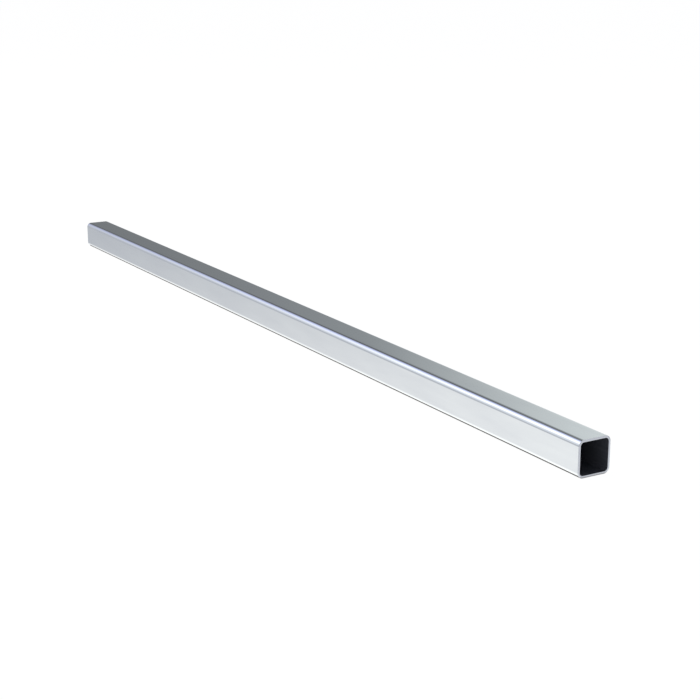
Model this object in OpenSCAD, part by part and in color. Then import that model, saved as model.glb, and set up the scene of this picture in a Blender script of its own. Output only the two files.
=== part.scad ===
// Extension tube: one length of cold-formed square steel tube, sawn off, deburred and zinc plated.
// Millimetres. The tube lies along X on one of its flats, and the origin is under its middle.

/* [Section] */
// Outside width of the tube, the same both ways
side = 30; // [20:1:60]
// Wall thickness
wall = 2; // [1:0.1:4]
// Bend radius on the inside of the four corners
inside_radius = 3; // [1:0.25:5]

/* [Length] */
// Cut length of the tube
length = 1000; // [100:10:3000]

/* [Cut ends] */
// Width of the 45 degree break that deburring leaves round the outside of each cut
outside_break = 0.25; // [0.1:0.05:0.5]
// Width of the 45 degree break round each mouth of the bore
bore_break = 0.2; // [0.1:0.05:0.4]

/* [Hidden] */

// The strip keeps its thickness in the bend, so both corner arcs share a centre.
outside_radius = inside_radius + wall;
bore = side - 2 * wall;
// The tool that cuts the bore runs this far past each end.
overrun = 1;
corners = [[-1, -1], [1, -1], [1, 1], [-1, 1]];
zinc = [0.80, 0.82, 0.84];
$fn = 96;

// One long side of a bar's outline, at `half` from its centre line. At both ends a positive
// `edge` breaks the corner at 45 degrees, and a negative one flares it.
function long_side(half, len, edge) = [
    [half - edge, -len / 2],
    [half, -len / 2 + abs(edge)],
    [half, len / 2 - abs(edge)],
    [half - edge, len / 2]
];

// Round rod along X, which fills one corner of the section.
module corner_rod(radius, len, edge) {
    rotate([0, 90, 0])
        rotate_extrude()
            polygon([[0, -len / 2], each long_side(radius, len, edge), [0, len / 2]]);
}

// Flat bar along X, `width` across Y and `thickness` through Z, with its ends worked on the
// two narrow sides.
module flat_bar(width, thickness, len, edge) {
    linear_extrude(height = thickness, center = true)
        rotate(90)
            polygon([for (turn = [1, -1], p = long_side(width / 2, len, edge)) turn * p]);
}

// Square bar along X with round corners, and a break or a flare round both ends.
module rounded_bar(width, radius, len, edge) {
    flat = width - 2 * radius;
    for (c = corners)
        translate([0, c[0] * flat / 2, c[1] * flat / 2])
            corner_rod(radius, len, edge);
    for (turn = [0, 90])
        rotate([turn, 0, 0])
            flat_bar(width, flat, len, edge);
}

// The tube: a rounded bar, less its bore and the flare at each mouth of the bore.
module square_tube() {
    color(zinc)
        translate([0, 0, side / 2])
            difference() {
                rounded_bar(side, outside_radius, length, outside_break);
                rounded_bar(bore, inside_radius, length + 2 * overrun, 0);
                rounded_bar(bore, inside_radius, length, -bore_break);
            }
}

square_tube();
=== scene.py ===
"""Blender look of the extension tube: square steel tube, zinc plated, on a white studio floor.

Sizes are in metres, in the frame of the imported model: the tube lies along X on z = 0.
"""

import logging
import math
from dataclasses import dataclass, field
from enum import Enum
from typing import Any

import bpy
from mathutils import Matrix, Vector

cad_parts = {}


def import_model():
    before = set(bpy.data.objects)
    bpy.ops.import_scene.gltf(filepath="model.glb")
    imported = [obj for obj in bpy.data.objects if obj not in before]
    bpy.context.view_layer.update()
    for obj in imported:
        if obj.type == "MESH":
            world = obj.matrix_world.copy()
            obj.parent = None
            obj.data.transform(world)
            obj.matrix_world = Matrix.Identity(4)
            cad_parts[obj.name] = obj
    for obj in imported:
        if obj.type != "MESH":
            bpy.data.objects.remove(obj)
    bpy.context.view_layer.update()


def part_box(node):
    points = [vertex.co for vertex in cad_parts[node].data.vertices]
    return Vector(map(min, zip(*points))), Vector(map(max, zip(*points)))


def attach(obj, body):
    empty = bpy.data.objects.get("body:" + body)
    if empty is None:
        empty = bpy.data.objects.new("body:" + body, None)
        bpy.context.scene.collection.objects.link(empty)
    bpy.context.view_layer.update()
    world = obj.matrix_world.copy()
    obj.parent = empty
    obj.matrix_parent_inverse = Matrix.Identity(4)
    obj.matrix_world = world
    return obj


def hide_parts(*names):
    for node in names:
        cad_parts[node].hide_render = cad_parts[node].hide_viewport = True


LOG = logging.getLogger("extension_tube")
MM = 0.001
NODE = "square_tube"
BODY = "root"
# Blender's noise seldom leaves this part of 0 to 1.
NOISE_LOW = 0.3
NOISE_HIGH = 0.7
# A wave texture goes through this many radians in each unit of its scaled place.
WAVE_RATE = 20.0


def linear(colour: str) -> tuple[float, float, float, float]:
    """Turns an sRGB hex colour into Blender's linear one.

    Args:
        colour: six hex digits after a hash, such as "#c0c4c8".

    Returns:
        Red, green, blue and an alpha of 1.
    """
    parts = [int(colour[i:i + 2], 16) / 255.0 for i in (1, 3, 5)]
    red, green, blue = (c / 12.92 if c <= 0.04045 else ((c + 0.055) / 1.055) ** 2.4 for c in parts)
    return red, green, blue, 1.0


def add_node(tree: bpy.types.NodeTree, kind: str, inputs: dict[Any, Any] | None = None,
             stops: tuple[tuple[float, str], ...] = (), **settings: Any) -> bpy.types.Node:
    """Adds one node to a tree, sets it up and wires its inputs.

    Args:
        tree: the tree that gets the node.
        kind: Blender's name of the node's type.
        inputs: input name or number, to a plain value or to the socket that feeds it.
        stops: a colour ramp's stops in order, each with its place on the ramp and its colour.
        settings: the node's own settings, such as operation.

    Returns:
        The new node.
    """
    node = tree.nodes.new(kind)
    for name, value in settings.items():
        setattr(node, name, value)
    if stops:
        band = node.color_ramp.elements
        band.remove(band[1])
        band[0].position = stops[0][0]
        band[0].color = linear(stops[0][1])
        for place, colour in stops[1:]:
            band.new(place).color = linear(colour)
    for key, value in (inputs or {}).items():
        if isinstance(value, bpy.types.NodeSocket):
            tree.links.new(value, node.inputs[key])
        else:
            node.inputs[key].default_value = value
    return node


def new_material(name: str) -> tuple[bpy.types.Material, bpy.types.NodeTree, bpy.types.NodeSocket]:
    """Makes an empty node material.

    Args:
        name: the material's name.

    Returns:
        The material, its tree and the Surface input that the shader goes to.
    """
    material = bpy.data.materials.new(name)
    material.use_nodes = True
    material.node_tree.nodes.clear()
    output = add_node(material.node_tree, "ShaderNodeOutputMaterial")
    return material, material.node_tree, output.inputs["Surface"]


def drawn_pattern(tree: bpy.types.NodeTree, along: float, across: float,
                  detail: float) -> bpy.types.NodeSocket:
    """Noise stretched along the tube, as rolling and drawing leave their marks.

    Args:
        tree: the material's tree.
        along: length of a mark along X.
        across: width of a mark across X.
        detail: octaves of finer noise.

    Returns:
        The noise's value, about 0.5 on average.
    """
    place = add_node(tree, "ShaderNodeTexCoord").outputs["Object"]
    scale = (1.0 / along, 1.0 / across, 1.0 / across)
    drawn = add_node(tree, "ShaderNodeMapping", {"Vector": place, "Scale": scale})
    noise = add_node(tree, "ShaderNodeTexNoise",
                     {"Vector": drawn.outputs["Vector"], "Scale": 1.0, "Detail": detail})
    return noise.outputs["Fac"]


def direction(azimuth: float, elevation: float) -> Vector:
    """A unit vector.

    Args:
        azimuth: degrees round Z from +X towards +Y.
        elevation: degrees above the floor.

    Returns:
        The vector.
    """
    turn, rise = math.radians(azimuth), math.radians(elevation)
    return Vector((math.cos(turn) * math.cos(rise), math.sin(turn) * math.cos(rise), math.sin(rise)))


@dataclass(frozen=True)
class ZincSkin:
    """Bright zinc plate on cold-rolled steel strip, bent and welded into a tube.

    The eye sees a light, cool metal that mirrors its surroundings with soft edges. The strip's
    rolling leaves faint lines and paler clouds along the tube, and the weld a dressed strip.
    """

    colour: str = "#e7ebed"
    cloud_colour: str = "#e2e6e9"
    roughness: tuple[float, float] = (0.10, 0.14)
    # Rolling lines are about 0.1 mm wide, too fine to show, so they are drawn coarser.
    line_length: float = 140.0 * MM
    line_width: float = 0.7 * MM
    line_height: float = 0.004 * MM
    line_detail: float = 2.0
    cloud_length: float = 60.0 * MM
    cloud_width: float = 9.0 * MM
    cloud_detail: float = 3.0
    # The weld, dressed flush along the middle of the back flat.
    seam_colour: str = "#dde1e4"
    seam_width: float = 2.4 * MM
    seam_edge: float = 0.6 * MM
    seam_depth: float = 0.006 * MM
    seam_roughness: float = 0.06

    def seam(self, tree: bpy.types.NodeTree, side: float) -> bpy.types.NodeSocket:
        """Where the weld was dressed.

        Args:
            tree: the material's tree.
            side: outside width of the tube.

        Returns:
            1 on the strip and 0 off it.
        """
        place = add_node(tree, "ShaderNodeTexCoord").outputs["Object"]
        axes = add_node(tree, "ShaderNodeSeparateXYZ", {"Vector": place}).outputs
        rise = add_node(tree, "ShaderNodeMath", {0: axes["Z"], 1: side / 2.0}, operation="SUBTRACT")
        off = add_node(tree, "ShaderNodeMath", {0: rise.outputs["Value"]}, operation="ABSOLUTE")
        half = self.seam_width / 2.0
        strip = add_node(tree, "ShaderNodeMapRange",
                         {"Value": off.outputs["Value"], "From Min": half - self.seam_edge,
                          "From Max": half, "To Min": 1.0, "To Max": 0.0})
        behind = add_node(tree, "ShaderNodeMath", {0: axes["Y"], 1: 0.0}, operation="GREATER_THAN")
        return add_node(tree, "ShaderNodeMath",
                        {0: strip.outputs["Result"], 1: behind.outputs["Value"]},
                        operation="MULTIPLY").outputs["Value"]

    def build(self, side: float) -> bpy.types.Material:
        """Builds the material.

        Args:
            side: outside width of the tube.

        Returns:
            The material.
        """
        material, tree, surface = new_material("bright_zinc_plate")
        lines = drawn_pattern(tree, self.line_length, self.line_width, self.line_detail)
        clouds = drawn_pattern(tree, self.cloud_length, self.cloud_width, self.cloud_detail)
        seam = self.seam(tree, side)
        cloud = add_node(tree, "ShaderNodeMapRange",
                         {"Value": clouds, "From Min": NOISE_LOW, "From Max": NOISE_HIGH})
        tint = add_node(tree, "ShaderNodeMix",
                        {"Factor": cloud.outputs["Result"], "A": linear(self.colour),
                         "B": linear(self.cloud_colour)}, data_type="RGBA")
        colour = add_node(tree, "ShaderNodeMix",
                          {"Factor": seam, "A": tint.outputs["Result"], "B": linear(self.seam_colour)},
                          data_type="RGBA")
        gloss = add_node(tree, "ShaderNodeMapRange",
                         {"Value": cloud.outputs["Result"], "To Min": self.roughness[0],
                          "To Max": self.roughness[1]})
        roughness = add_node(tree, "ShaderNodeMath",
                             {0: seam, 1: self.seam_roughness, 2: gloss.outputs["Result"]},
                             operation="MULTIPLY_ADD")
        height = add_node(tree, "ShaderNodeMath",
                          {0: seam, 1: -self.seam_depth / self.line_height, 2: lines},
                          operation="MULTIPLY_ADD")
        bump = add_node(tree, "ShaderNodeBump",
                        {"Height": height.outputs["Value"], "Strength": 1.0, "Distance": self.line_height})
        shader = add_node(tree, "ShaderNodeBsdfPrincipled",
                          {"Base Color": colour.outputs["Result"], "Metallic": 1.0,
                           "Roughness": roughness.outputs["Value"], "Normal": bump.outputs["Normal"]})
        tree.links.new(shader.outputs["BSDF"], surface)
        return material


@dataclass(frozen=True)
class SawnCut:
    """Zinc plate over a sawn and deburred end: the eye sees a duller rim with fine saw marks."""

    colour: str = "#d4d7de"
    roughness: tuple[float, float] = (0.40, 0.50)
    # A saw's marks are about 0.1 mm apart, too fine to show, so they are drawn coarser.
    mark_spacing: float = 0.5 * MM
    mark_height: float = 0.006 * MM
    mark_waver: float = 1.2
    grain: float = 0.4 * MM
    detail: float = 2.0

    def build(self) -> bpy.types.Material:
        """Builds the material.

        Returns:
            The material.
        """
        material, tree, surface = new_material("sawn_zinc_plate")
        place = add_node(tree, "ShaderNodeTexCoord").outputs["Object"]
        marks = add_node(tree, "ShaderNodeTexWave",
                         {"Vector": place, "Scale": math.tau / (WAVE_RATE * self.mark_spacing),
                          "Distortion": self.mark_waver, "Detail": self.detail}, bands_direction="Z")
        grain = add_node(tree, "ShaderNodeTexNoise",
                         {"Vector": place, "Scale": 1.0 / self.grain, "Detail": self.detail})
        gloss = add_node(tree, "ShaderNodeMapRange",
                         {"Value": grain.outputs["Fac"], "From Min": NOISE_LOW, "From Max": NOISE_HIGH,
                          "To Min": self.roughness[0], "To Max": self.roughness[1]})
        bump = add_node(tree, "ShaderNodeBump",
                        {"Height": marks.outputs["Fac"], "Strength": 1.0, "Distance": self.mark_height})
        shader = add_node(tree, "ShaderNodeBsdfPrincipled",
                          {"Base Color": linear(self.colour), "Metallic": 1.0,
                           "Roughness": gloss.outputs["Result"], "Normal": bump.outputs["Normal"]})
        tree.links.new(shader.outputs["BSDF"], surface)
        return material


@dataclass(frozen=True)
class BareBore:
    """Mill-dark rolled steel in the bore, where the plating bath throws no zinc.

    The eye sees a dull, nearly black wall, with faint streaks along it. The steel's thin oxide
    hides part of the metal, so the material is only partly metallic.
    """

    colour: str = "#5c5e66"
    streak_colour: str = "#66686f"
    roughness: tuple[float, float] = (0.45, 0.6)
    metallic: float = 0.6
    streak_length: float = 90.0 * MM
    streak_width: float = 1.5 * MM
    streak_detail: float = 3.0

    def build(self) -> bpy.types.Material:
        """Builds the material.

        Returns:
            The material.
        """
        material, tree, surface = new_material("bare_bore_steel")
        streaks = drawn_pattern(tree, self.streak_length, self.streak_width, self.streak_detail)
        streak = add_node(tree, "ShaderNodeMapRange",
                          {"Value": streaks, "From Min": NOISE_LOW, "From Max": NOISE_HIGH})
        tint = add_node(tree, "ShaderNodeMix",
                        {"Factor": streak.outputs["Result"], "A": linear(self.colour),
                         "B": linear(self.streak_colour)}, data_type="RGBA")
        gloss = add_node(tree, "ShaderNodeMapRange",
                         {"Value": streak.outputs["Result"], "To Min": self.roughness[0],
                          "To Max": self.roughness[1]})
        shader = add_node(tree, "ShaderNodeBsdfPrincipled",
                          {"Base Color": tint.outputs["Result"], "Metallic": self.metallic,
                           "Roughness": gloss.outputs["Result"]})
        tree.links.new(shader.outputs["BSDF"], surface)
        return material


class TubeInput(Enum):
    """The named inputs of the tube's tree, each with its kind of socket."""

    LENGTH = ("Length", "NodeSocketFloat")
    SIDE = ("Side", "NodeSocketFloat")
    WALL = ("Wall", "NodeSocketFloat")
    INSIDE_RADIUS = ("Inside radius", "NodeSocketFloat")
    OUTSIDE_BREAK = ("Outside break", "NodeSocketFloat")
    BORE_BREAK = ("Bore break", "NodeSocketFloat")
    BEND_STEPS = ("Bend steps", "NodeSocketInt")
    SKIN = ("Skin", "NodeSocketMaterial")
    CUT = ("Cut face", "NodeSocketMaterial")
    BORE = ("Bore", "NodeSocketMaterial")


@dataclass
class SquareTube:
    """The tube: its wall's outline is swept once round the square section."""

    length: float
    side: float
    wall: float = 2.0 * MM
    inside_radius: float = 3.0 * MM
    outside_break: float = 0.25 * MM
    bore_break: float = 0.2 * MM
    bend_steps: int = 24
    # A face belongs to the bore where its normal has less than this along the way out of the axis.
    inward: float = -0.1
    skin: ZincSkin = field(default_factory=ZincSkin)
    cut: SawnCut = field(default_factory=SawnCut)
    bore: BareBore = field(default_factory=BareBore)

    @classmethod
    def from_frame(cls) -> "SquareTube":
        """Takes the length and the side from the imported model."""
        low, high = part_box(NODE)
        return cls(length=high.x - low.x, side=high.z - low.z)

    def inputs(self) -> dict[TubeInput, Any]:
        """The value of each of the tree's inputs."""
        return {
            TubeInput.LENGTH: self.length,
            TubeInput.SIDE: self.side,
            TubeInput.WALL: self.wall,
            TubeInput.INSIDE_RADIUS: self.inside_radius,
            TubeInput.OUTSIDE_BREAK: self.outside_break,
            TubeInput.BORE_BREAK: self.bore_break,
            TubeInput.BEND_STEPS: self.bend_steps,
            TubeInput.SKIN: self.skin.build(self.side),
            TubeInput.CUT: self.cut.build(),
            TubeInput.BORE: self.bore.build(),
        }

    def sweep_tree(self) -> tuple[bpy.types.GeometryNodeTree, dict[TubeInput, str]]:
        """Builds the tree that sweeps the wall's outline round the section.

        Returns:
            The tree, and the identifier of each named input.
        """
        tree = bpy.data.node_groups.new("square_tube_sweep", "GeometryNodeTree")
        tree.interface.new_socket("Geometry", in_out="OUTPUT", socket_type="NodeSocketGeometry")
        names = {}
        for item in TubeInput:
            socket = tree.interface.new_socket(item.value[0], in_out="INPUT", socket_type=item.value[1])
            names[item] = socket.identifier
        given = {item: add_node(tree, "NodeGroupInput").outputs[item.value[0]] for item in TubeInput}

        # The path runs round the middle of the wall, so both faces of a bend share its centre.
        across = add_node(tree, "ShaderNodeMath", {0: given[TubeInput.SIDE], 1: given[TubeInput.WALL]},
                          operation="SUBTRACT").outputs["Value"]
        bend = add_node(tree, "ShaderNodeMath",
                        {0: given[TubeInput.WALL], 1: 0.5, 2: given[TubeInput.INSIDE_RADIUS]},
                        operation="MULTIPLY_ADD").outputs["Value"]
        square = add_node(tree, "GeometryNodeCurvePrimitiveQuadrilateral",
                          {"Width": across, "Height": across}, mode="RECTANGLE")
        path = add_node(tree, "GeometryNodeFilletCurve",
                        {"Curve": square.outputs["Curve"], "Count": given[TubeInput.BEND_STEPS],
                         "Radius": bend}, mode="POLY")

        # The wall's outline has a flat break at each of its four corners.
        strip = add_node(tree, "GeometryNodeCurvePrimitiveQuadrilateral",
                         {"Width": given[TubeInput.WALL], "Height": given[TubeInput.LENGTH]},
                         mode="RECTANGLE")
        place = add_node(tree, "ShaderNodeSeparateXYZ",
                         {"Vector": add_node(tree, "GeometryNodeInputPosition").outputs["Position"]})
        outer = add_node(tree, "FunctionNodeCompare", {"A": place.outputs["X"], "B": 0.0},
                         operation="GREATER_THAN")
        edge = add_node(tree, "GeometryNodeSwitch",
                        {"Switch": outer.outputs["Result"], "False": given[TubeInput.BORE_BREAK],
                         "True": given[TubeInput.OUTSIDE_BREAK]}, input_type="FLOAT")
        outline = add_node(tree, "GeometryNodeFilletCurve",
                           {"Curve": strip.outputs["Curve"], "Count": 1, "Radius": edge.outputs["Output"]},
                           mode="POLY")

        swept = add_node(tree, "GeometryNodeCurveToMesh",
                         {"Curve": path.outputs["Curve"], "Profile Curve": outline.outputs["Curve"]})
        half = add_node(tree, "ShaderNodeMath", {0: given[TubeInput.SIDE], 1: 0.5}, operation="MULTIPLY")
        middle = add_node(tree, "ShaderNodeCombineXYZ", {"Z": half.outputs["Value"]}).outputs["Vector"]
        laid = add_node(tree, "GeometryNodeTransform",
                        {"Geometry": swept.outputs["Mesh"], "Rotation": (0.0, math.pi / 2.0, 0.0),
                         "Translation": middle})
        smooth = add_node(tree, "GeometryNodeSetShadeSmooth", {"Geometry": laid.outputs["Geometry"]})
        real = add_node(tree, "GeometryNodeRealizeInstances", {"Geometry": smooth.outputs["Geometry"]})
        dressed = self.dress(tree, real.outputs["Geometry"], middle, given)
        add_node(tree, "NodeGroupOutput", {"Geometry": dressed})
        return tree, names

    def dress(self, tree: bpy.types.NodeTree, mesh: bpy.types.NodeSocket, middle: bpy.types.NodeSocket,
              given: dict[TubeInput, bpy.types.NodeSocket]) -> bpy.types.NodeSocket:
        """Gives the skin, the cut faces and the bore their materials.

        Args:
            tree: the tube's tree.
            mesh: the tube's mesh, lying on its lower flat.
            middle: the middle of the tube.
            given: the tree's inputs.

        Returns:
            The mesh with its materials.
        """
        place = add_node(tree, "GeometryNodeInputPosition").outputs["Position"]
        position = add_node(tree, "ShaderNodeVectorMath", {0: place, 1: middle},
                            operation="SUBTRACT").outputs["Vector"]
        normal = add_node(tree, "GeometryNodeInputNormal").outputs["Normal"]
        along = add_node(tree, "ShaderNodeSeparateXYZ", {"Vector": position}).outputs["X"]
        reach = add_node(tree, "ShaderNodeMath", {0: along}, operation="ABSOLUTE").outputs["Value"]
        quarter = add_node(tree, "ShaderNodeMath", {0: given[TubeInput.LENGTH], 1: 0.25},
                           operation="MULTIPLY").outputs["Value"]
        # A face of the skin or the bore runs from end to end, so its middle is at the tube's.
        at_end = add_node(tree, "FunctionNodeCompare", {"A": reach, "B": quarter},
                          operation="GREATER_THAN").outputs["Result"]
        # The bore and the break round its mouth face the axis, and the cut faces only along it.
        section = add_node(tree, "ShaderNodeVectorMath", {0: position, 1: (0.0, 1.0, 1.0)},
                           operation="MULTIPLY").outputs["Vector"]
        spoke = add_node(tree, "ShaderNodeVectorMath", {0: section}, operation="NORMALIZE").outputs["Vector"]
        facing = add_node(tree, "ShaderNodeVectorMath", {0: spoke, 1: normal},
                          operation="DOT_PRODUCT").outputs["Value"]
        inside = add_node(tree, "FunctionNodeCompare", {"A": facing, "B": self.inward},
                          operation="LESS_THAN").outputs["Result"]
        for item, chosen in ((TubeInput.SKIN, True), (TubeInput.CUT, at_end), (TubeInput.BORE, inside)):
            mesh = add_node(tree, "GeometryNodeSetMaterial",
                            {"Geometry": mesh, "Selection": chosen, "Material": given[item]}
                            ).outputs["Geometry"]
        return mesh

    def build(self) -> bpy.types.Object:
        """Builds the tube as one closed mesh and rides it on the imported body.

        Returns:
            The tube's object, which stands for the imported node.
        """
        tree, names = self.sweep_tree()
        maker = bpy.data.objects.new("tube_maker", bpy.data.meshes.new("tube_maker"))
        bpy.context.scene.collection.objects.link(maker)
        sweep = maker.modifiers.new("sweep", "NODES")
        sweep.node_group = tree
        for item, value in self.inputs().items():
            sweep[names[item]] = value
        # Large faces set the normals, so the flats stay flat and the bends run into them smoothly.
        weigh = maker.modifiers.new("weigh", "WEIGHTED_NORMAL")
        weigh.mode = "FACE_AREA"
        weigh.weight = 100
        bpy.context.view_layer.update()
        ready = maker.evaluated_get(bpy.context.evaluated_depsgraph_get())
        mesh = bpy.data.meshes.new_from_object(ready)
        bpy.data.objects.remove(maker)
        tube = bpy.data.objects.new("zinc_plated_tube", mesh)
        bpy.context.scene.collection.objects.link(tube)
        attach(tube, BODY)
        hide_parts(NODE)
        LOG.info("%s: %d faces, %d materials", tube.name, len(mesh.polygons), len(mesh.materials))
        return tube


@dataclass(frozen=True)
class Lamp:
    """A soft rectangular lamp that faces a point. The metal mirrors the cards instead of it."""

    name: str
    target: tuple[float, float, float]
    azimuth: float
    elevation: float
    distance: float
    width: float
    height: float
    watts: float
    colour: str = "#ffffff"

    def build(self) -> bpy.types.Object:
        """Builds the lamp.

        Returns:
            The lamp's object.
        """
        light = bpy.data.lights.new(self.name, "AREA")
        light.shape = "RECTANGLE"
        light.size = self.width
        light.size_y = self.height
        light.energy = self.watts
        light.color = linear(self.colour)[:3]
        lamp = bpy.data.objects.new(self.name, light)
        bpy.context.scene.collection.objects.link(lamp)
        away = direction(self.azimuth, self.elevation)
        lamp.location = Vector(self.target) + away * self.distance
        lamp.rotation_euler = away.to_track_quat("Z", "Y").to_euler()
        lamp.visible_camera = False
        lamp.visible_glossy = False
        LOG.info("%s: %.0f W", self.name, self.watts)
        return lamp


@dataclass(frozen=True)
class Card:
    """A tone that stands at one azimuth round the room, and runs softly into the next one's."""

    azimuth: float
    low: str
    high: str


@dataclass(frozen=True)
class Studio:
    """White room with soft cards round the walls, and a white floor with a painted sheen.

    Only the metal sees the cards. The camera sees white, and matt surfaces get a soft fill.
    """

    white: str = "#ffffff"
    # By degrees from +X towards +Y, with the tone just above the floor and the one high up.
    cards: tuple[Card, ...] = (
        # Plain wall past the open end, and a pale sheet behind the tube.
        Card(0, "#8d8f93", "#b3b3b3"), Card(45, "#a8aaad", "#b9b9b9"), Card(90, "#999b9f", "#b3b3b3"),
        Card(125, "#afb1b3", "#bec0c0"), Card(139, "#a5a9a9", "#a6aaaa"),
        # Black card past the far end, which darkens the far half of the top.
        Card(149, "#696c6e", "#6e7173"), Card(155, "#5a5c5e", "#6b6e70"), Card(162, "#595b5d", "#535556"),
        Card(171, "#525355", "#393a3a"), Card(180, "#6d6f75", "#777989"),
        # Tall soft box, bluish at its edge, which draws the bright line along the bend.
        Card(190, "#7f8188", "#9ea3c0"), Card(197, "#898b92", "#b4b9cf"), Card(205, "#909298", "#d9dbe7"),
        Card(214, "#9c9fa5", "#f9f9fb"), Card(222, "#a9acb2", "#c6c7ca"),
        # Grey wall on the near side.
        Card(235, "#a3a6ab", "#b4b4b6"), Card(255, "#989a9e", "#b0b0b0"), Card(285, "#87898d", "#a2a5a8"),
        Card(312, "#6d6f72", "#7b7e82"), Card(335, "#7c7e82", "#929599"))
    ceiling: str = "#bcbcbc"
    # Sines of the angles above the floor at which the high tones are reached, and the ceiling's.
    high_from: float = 0.5
    high_ease: float = 1.7
    ceiling_from: float = 0.62
    ceiling_to: float = 0.95
    room_level: float = 2.0
    # Matt surfaces see this in place of the cards.
    fill: str = "#d9e0ff"
    fill_level: float = 0.25
    lamps: tuple[Lamp, ...] = (
        Lamp("key_softbox", target=(0.0, 0.0, 0.0), azimuth=-125.0, elevation=60.0, distance=3.0,
             width=2.6, height=2.6, watts=38.0),
        # Looks low into the open end, so that the bore's back wall is paler than its lower one.
        Lamp("end_strip", target=(0.5, 0.0, 0.015), azimuth=-54.0, elevation=3.0, distance=2.0,
             width=2.3, height=0.3, watts=12.0))
    floor_span: float = 40.0
    # The floor lies a hair under the tube's flat, so that the two share no plane.
    floor_drop: float = 0.05 * MM
    # Stops are 1 less the sine of the angle at which the floor is seen: steep first, then grazing.
    # Close beside the tube the floor is palest, as light comes back off the metal onto it.
    # Painted reflection: the floor is painted paler where it is seen steeply and greyer where it is seen
    # grazing.
    beside_tones: tuple[tuple[float, str], ...] = (
        (0.370, "#f5f5f3"), (0.460, "#eeeeec"), (0.540, "#e6e6e5"), (0.625, "#dddddd"), (0.665, "#d8d8d8"),
        (0.715, "#cdcdce"), (0.775, "#b5b6b9"), (0.817, "#a4a6ab"), (1.0, "#a0a2a9"))
    open_tones: tuple[tuple[float, str], ...] = (
        (0.300, "#c6c6c7"), (0.500, "#cecece"), (0.610, "#d6d6d6"), (0.665, "#d8d8d8"), (0.715, "#cdcdce"),
        (0.775, "#b5b6b9"), (0.817, "#a4a6ab"), (1.0, "#a0a2a9"))
    # Distances from the tube between which the one run of tones turns into the other.
    beside_from: float = 5.0 * MM
    beside_to: float = 10.0 * MM
    floor_level: float = 1.5
    paper: str = "#e8e8e8"
    # The metal sees the floor darken and warm where the tube shuts the light out.
    contact_reach: float = 2.25 * MM
    contact_depth: float = 3.6
    contact_tint: str = "#fff1df"
    # The camera sees only a thin line there.
    line_reach: float = 0.5 * MM
    line_shade: float = 0.14
    openness_samples: int = 8
    # To the camera the floor glows nearly white, and the lamps add the rest outside the tube's shadow.
    camera_white: float = 0.985
    camera_shadow: float = 0.06

    def walls(self, tree: bpy.types.NodeTree) -> bpy.types.NodeSocket:
        """The light that the metal sees from each direction.

        Args:
            tree: the world's tree.

        Returns:
            Its colour, as a share of the room's level.
        """
        way = add_node(tree, "ShaderNodeTexCoord").outputs["Generated"]
        rise = add_node(tree, "ShaderNodeSeparateXYZ", {"Vector": way}).outputs["Z"]
        # Turned half round, so that the run of cards starts and ends at azimuth 0.
        back = add_node(tree, "ShaderNodeVectorMath", {0: way, "Scale": -1.0}, operation="SCALE")
        axes = add_node(tree, "ShaderNodeSeparateXYZ", {"Vector": back.outputs["Vector"]}).outputs
        turn = add_node(tree, "ShaderNodeMath", {0: axes["Y"], 1: axes["X"]}, operation="ARCTAN2")
        share = add_node(tree, "ShaderNodeMath", {0: turn.outputs["Value"], 1: 1.0 / math.tau, 2: 0.5},
                         operation="MULTIPLY_ADD").outputs["Value"]
        places = [card.azimuth / 360.0 for card in self.cards] + [1.0]
        closed = self.cards + self.cards[:1]
        low = add_node(tree, "ShaderNodeValToRGB", {"Fac": share},
                       stops=tuple(zip(places, (card.low for card in closed))))
        high = add_node(tree, "ShaderNodeValToRGB", {"Fac": share},
                        stops=tuple(zip(places, (card.high for card in closed))))
        height = add_node(tree, "ShaderNodeMapRange", {"Value": rise, "From Max": self.high_from})
        eased = add_node(tree, "ShaderNodeMath", {0: height.outputs["Result"], 1: self.high_ease},
                         operation="POWER")
        wall = add_node(tree, "ShaderNodeMix",
                        {"Factor": eased.outputs["Value"], "A": low.outputs["Color"],
                         "B": high.outputs["Color"]}, data_type="RGBA")
        overhead = add_node(tree, "ShaderNodeMapRange",
                            {"Value": rise, "From Min": self.ceiling_from, "From Max": self.ceiling_to},
                            interpolation_type="SMOOTHSTEP")
        return add_node(tree, "ShaderNodeMix",
                        {"Factor": overhead.outputs["Result"], "A": wall.outputs["Result"],
                         "B": linear(self.ceiling)}, data_type="RGBA").outputs["Result"]

    def rays(self, tree: bpy.types.NodeTree) -> tuple[bpy.types.NodeSocket, bpy.types.NodeSocket]:
        """Tells the camera's rays, and those off metal or through glass, from the rest.

        Args:
            tree: the tree of the world or the floor.

        Returns:
            1 for a camera ray, and 1 for a glossy or transmission ray.
        """
        path = add_node(tree, "ShaderNodeLightPath").outputs
        shiny = add_node(tree, "ShaderNodeMath", {0: path["Is Glossy Ray"], 1: path["Is Transmission Ray"]},
                         operation="MAXIMUM")
        return path["Is Camera Ray"], shiny.outputs["Value"]

    def build_world(self) -> None:
        """Makes the room that the metal sees, and the plain white that the camera sees."""
        world = bpy.data.worlds.new("studio_room")
        bpy.context.scene.world = world
        world.use_nodes = True
        tree = world.node_tree
        tree.nodes.clear()
        camera, shiny = self.rays(tree)
        metal = add_node(tree, "ShaderNodeBackground",
                         {"Color": self.walls(tree), "Strength": self.room_level})
        fill = add_node(tree, "ShaderNodeBackground",
                        {"Color": linear(self.fill), "Strength": self.fill_level})
        white = add_node(tree, "ShaderNodeBackground", {"Color": linear(self.white), "Strength": 1.0})
        lit = add_node(tree, "ShaderNodeMixShader",
                       {0: shiny, 1: fill.outputs["Background"], 2: metal.outputs["Background"]})
        shown = add_node(tree, "ShaderNodeMixShader",
                         {0: camera, 1: lit.outputs["Shader"], 2: white.outputs["Background"]})
        add_node(tree, "ShaderNodeOutputWorld", {"Surface": shown.outputs["Shader"]})
        LOG.info("%s: %d cards", world.name, len(self.cards))

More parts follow.
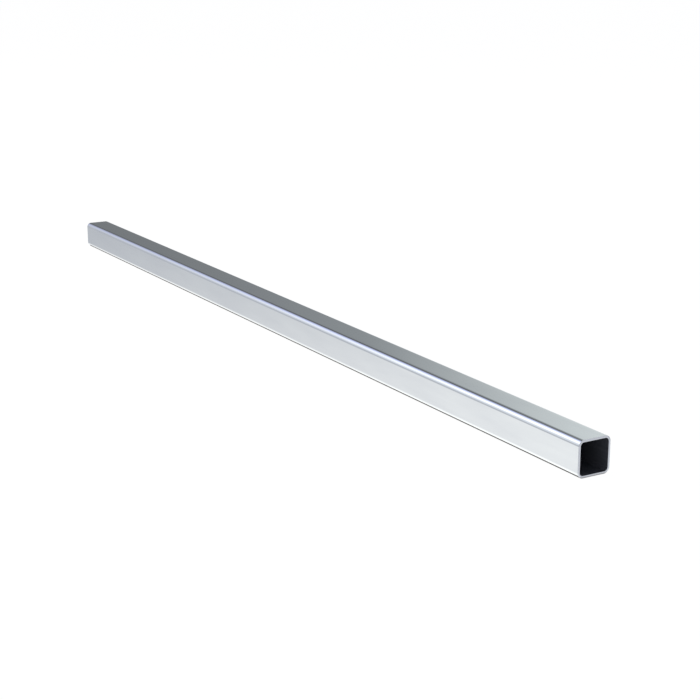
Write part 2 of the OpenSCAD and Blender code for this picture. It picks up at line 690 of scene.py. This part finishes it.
    def openness(self, tree: bpy.types.NodeTree, reach: float) -> bpy.types.NodeSocket:
        """The free share of the space within a reach of the floor, 0 where the tube touches it."""
        return add_node(tree, "ShaderNodeAmbientOcclusion", {"Distance": reach},
                        samples=self.openness_samples).outputs["AO"]

    def beside(self, tree: bpy.types.NodeTree, tube: SquareTube) -> bpy.types.NodeSocket:
        """Where the floor lies so close to the tube that light comes back off it.

        Args:
            tree: the floor's tree.
            tube: the tube.

        Returns:
            1 beside the tube and 0 away from it.
        """
        place = add_node(tree, "ShaderNodeTexCoord").outputs["Object"]
        apart = add_node(tree, "ShaderNodeVectorMath", {0: place}, operation="ABSOLUTE")
        past = add_node(tree, "ShaderNodeVectorMath",
                        {0: apart.outputs["Vector"], 1: (tube.length / 2.0, tube.side / 2.0, 0.0)},
                        operation="SUBTRACT")
        axes = add_node(tree, "ShaderNodeSeparateXYZ", {"Vector": past.outputs["Vector"]}).outputs
        gap = add_node(tree, "ShaderNodeMath", {0: axes["X"], 1: axes["Y"]}, operation="MAXIMUM")
        return add_node(tree, "ShaderNodeMapRange",
                        {"Value": gap.outputs["Value"], "From Min": self.beside_from,
                         "From Max": self.beside_to, "To Min": 1.0, "To Max": 0.0}).outputs["Result"]

    def painted_floor_sheen(self, tree: bpy.types.NodeTree, tube: SquareTube) -> bpy.types.NodeSocket:
        """The floor as the metal sees it, with painted reflection, painted light and painted shade.

        Args:
            tree: the floor's tree.
            tube: the tube that lies on it.

        Returns:
            The shader.
        """
        # Painted reflection and painted light: the tones follow the angle of view and the nearness of the
        # tube.
        seen_at = add_node(tree, "ShaderNodeLayerWeight", {"Blend": 0.5}).outputs["Facing"]
        close = add_node(tree, "ShaderNodeValToRGB", {"Fac": seen_at}, stops=self.beside_tones)
        away = add_node(tree, "ShaderNodeValToRGB", {"Fac": seen_at}, stops=self.open_tones)
        sheen = add_node(tree, "ShaderNodeMix",
                         {"Factor": self.beside(tree, tube), "A": away.outputs["Color"],
                          "B": close.outputs["Color"]}, data_type="RGBA")
        # Painted contact shade: the floor's tone turns darker and warmer where the tube closes in over it.
        free = self.openness(tree, self.contact_reach)
        shade_warmth = add_node(tree, "ShaderNodeMix",
                          {"Factor": free, "A": linear(self.contact_tint), "B": linear(self.white)},
                          data_type="RGBA")
        tone = add_node(tree, "ShaderNodeVectorMath",
                        {0: sheen.outputs["Result"], 1: shade_warmth.outputs["Result"]}, operation="MULTIPLY")
        depth = add_node(tree, "ShaderNodeMath", {0: free, 1: self.contact_depth}, operation="POWER")
        # The painted sheen, darkened by the painted contact shade where the tube closes in.
        painted_sheen_tone = add_node(tree, "ShaderNodeVectorMath",
                         {0: tone.outputs["Vector"], "Scale": depth.outputs["Value"]}, operation="SCALE")
        return add_node(tree, "ShaderNodeEmission",
                        {"Color": painted_sheen_tone.outputs["Vector"], "Strength": self.floor_level}
                        ).outputs["Emission"]

    def plain_paper(self, tree: bpy.types.NodeTree, camera: bpy.types.NodeSocket) -> bpy.types.NodeSocket:
        """The floor as the camera and matt surfaces see it.

        Args:
            tree: the floor's tree.
            camera: 1 for a camera ray.

        Returns:
            The shader.
        """
        line = add_node(tree, "ShaderNodeMath",
                        {0: self.openness(tree, self.line_reach), 1: self.line_shade,
                         2: 1.0 - self.line_shade}, operation="MULTIPLY_ADD")
        white = add_node(tree, "ShaderNodeMath", {0: line.outputs["Value"], 1: self.camera_white},
                         operation="MULTIPLY")
        glow = add_node(tree, "ShaderNodeMath", {0: white.outputs["Value"], 1: camera},
                        operation="MULTIPLY")
        paper = add_node(tree, "ShaderNodeMix",
                         {"Factor": camera, "A": linear(self.paper),
                          "B": (self.camera_shadow,) * 3 + (1.0,)}, data_type="RGBA")
        matt = add_node(tree, "ShaderNodeBsdfDiffuse", {"Color": paper.outputs["Result"]})
        light = add_node(tree, "ShaderNodeEmission", {"Strength": glow.outputs["Value"]})
        return add_node(tree, "ShaderNodeAddShader",
                        {0: matt.outputs["BSDF"], 1: light.outputs["Emission"]}).outputs["Shader"]

    def build_floor(self, tube: SquareTube) -> bpy.types.Object:
        """Makes the floor: white to the camera but for the tube's shadow, painted tones to the metal.

        Args:
            tube: the tube that lies on it.

        Returns:
            The floor's object.
        """
        half = self.floor_span / 2.0
        mesh = bpy.data.meshes.new("studio_floor")
        mesh.from_pydata([(-half, -half, 0.0), (half, -half, 0.0), (half, half, 0.0), (-half, half, 0.0)],
                         [], [(0, 1, 2, 3)])
        floor = bpy.data.objects.new("studio_floor", mesh)
        floor.location.z = -self.floor_drop
        bpy.context.scene.collection.objects.link(floor)
        # White paper sweep: matt to the eye, with a painted sheen, light and shade that the metal sees.
        material, tree, surface = new_material("white_paper_painted_sheen")
        camera, shiny = self.rays(tree)
        whole = add_node(tree, "ShaderNodeMixShader",
                         {0: shiny, 1: self.plain_paper(tree, camera), 2: self.painted_floor_sheen(tree, tube)})
        tree.links.new(whole.outputs["Shader"], surface)
        mesh.materials.append(material)
        LOG.info("%s: %.0f m across", floor.name, self.floor_span)
        return floor

    def build(self, tube: SquareTube) -> None:
        """Builds the room, the floor and the lamps.

        Args:
            tube: the tube that lies on the floor.
        """
        self.build_world()
        self.build_floor(tube)
        for lamp in self.lamps:
            lamp.build()


@dataclass(frozen=True)
class ViewPoint:
    """The camera, at the place and with the lens that the photograph's outlines give."""

    location: tuple[float, float, float] = (1.3211, -0.6889, 0.3880)
    turn: float = 59.70
    tilt: float = 15.401
    focal_px: float = 1512.6
    picture_px: float = 700.0
    sensor: float = 36.0

    def build(self) -> bpy.types.Object:
        """Builds the camera and makes it the scene's.

        Returns:
            The camera's object.
        """
        data = bpy.data.cameras.new("photo_camera")
        data.sensor_fit = "HORIZONTAL"
        data.sensor_width = self.sensor
        data.lens = self.focal_px * self.sensor / self.picture_px
        camera = bpy.data.objects.new("photo_camera", data)
        camera.location = self.location
        camera.rotation_euler = (math.radians(90.0 - self.tilt), 0.0, math.radians(self.turn))
        bpy.context.scene.collection.objects.link(camera)
        bpy.context.scene.camera = camera
        LOG.info("%s: %.1f mm lens", camera.name, data.lens)
        return camera


def main() -> None:
    """Builds the tube, the studio and the camera, and reports each piece."""
    logging.basicConfig(level=logging.INFO, format="%(name)s: %(message)s")
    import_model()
    tube = SquareTube.from_frame()
    tube.build()
    Studio().build(tube)
    ViewPoint().build()
    bpy.context.scene.view_settings.view_transform = "Standard"


if __name__ == "__main__":
    main()
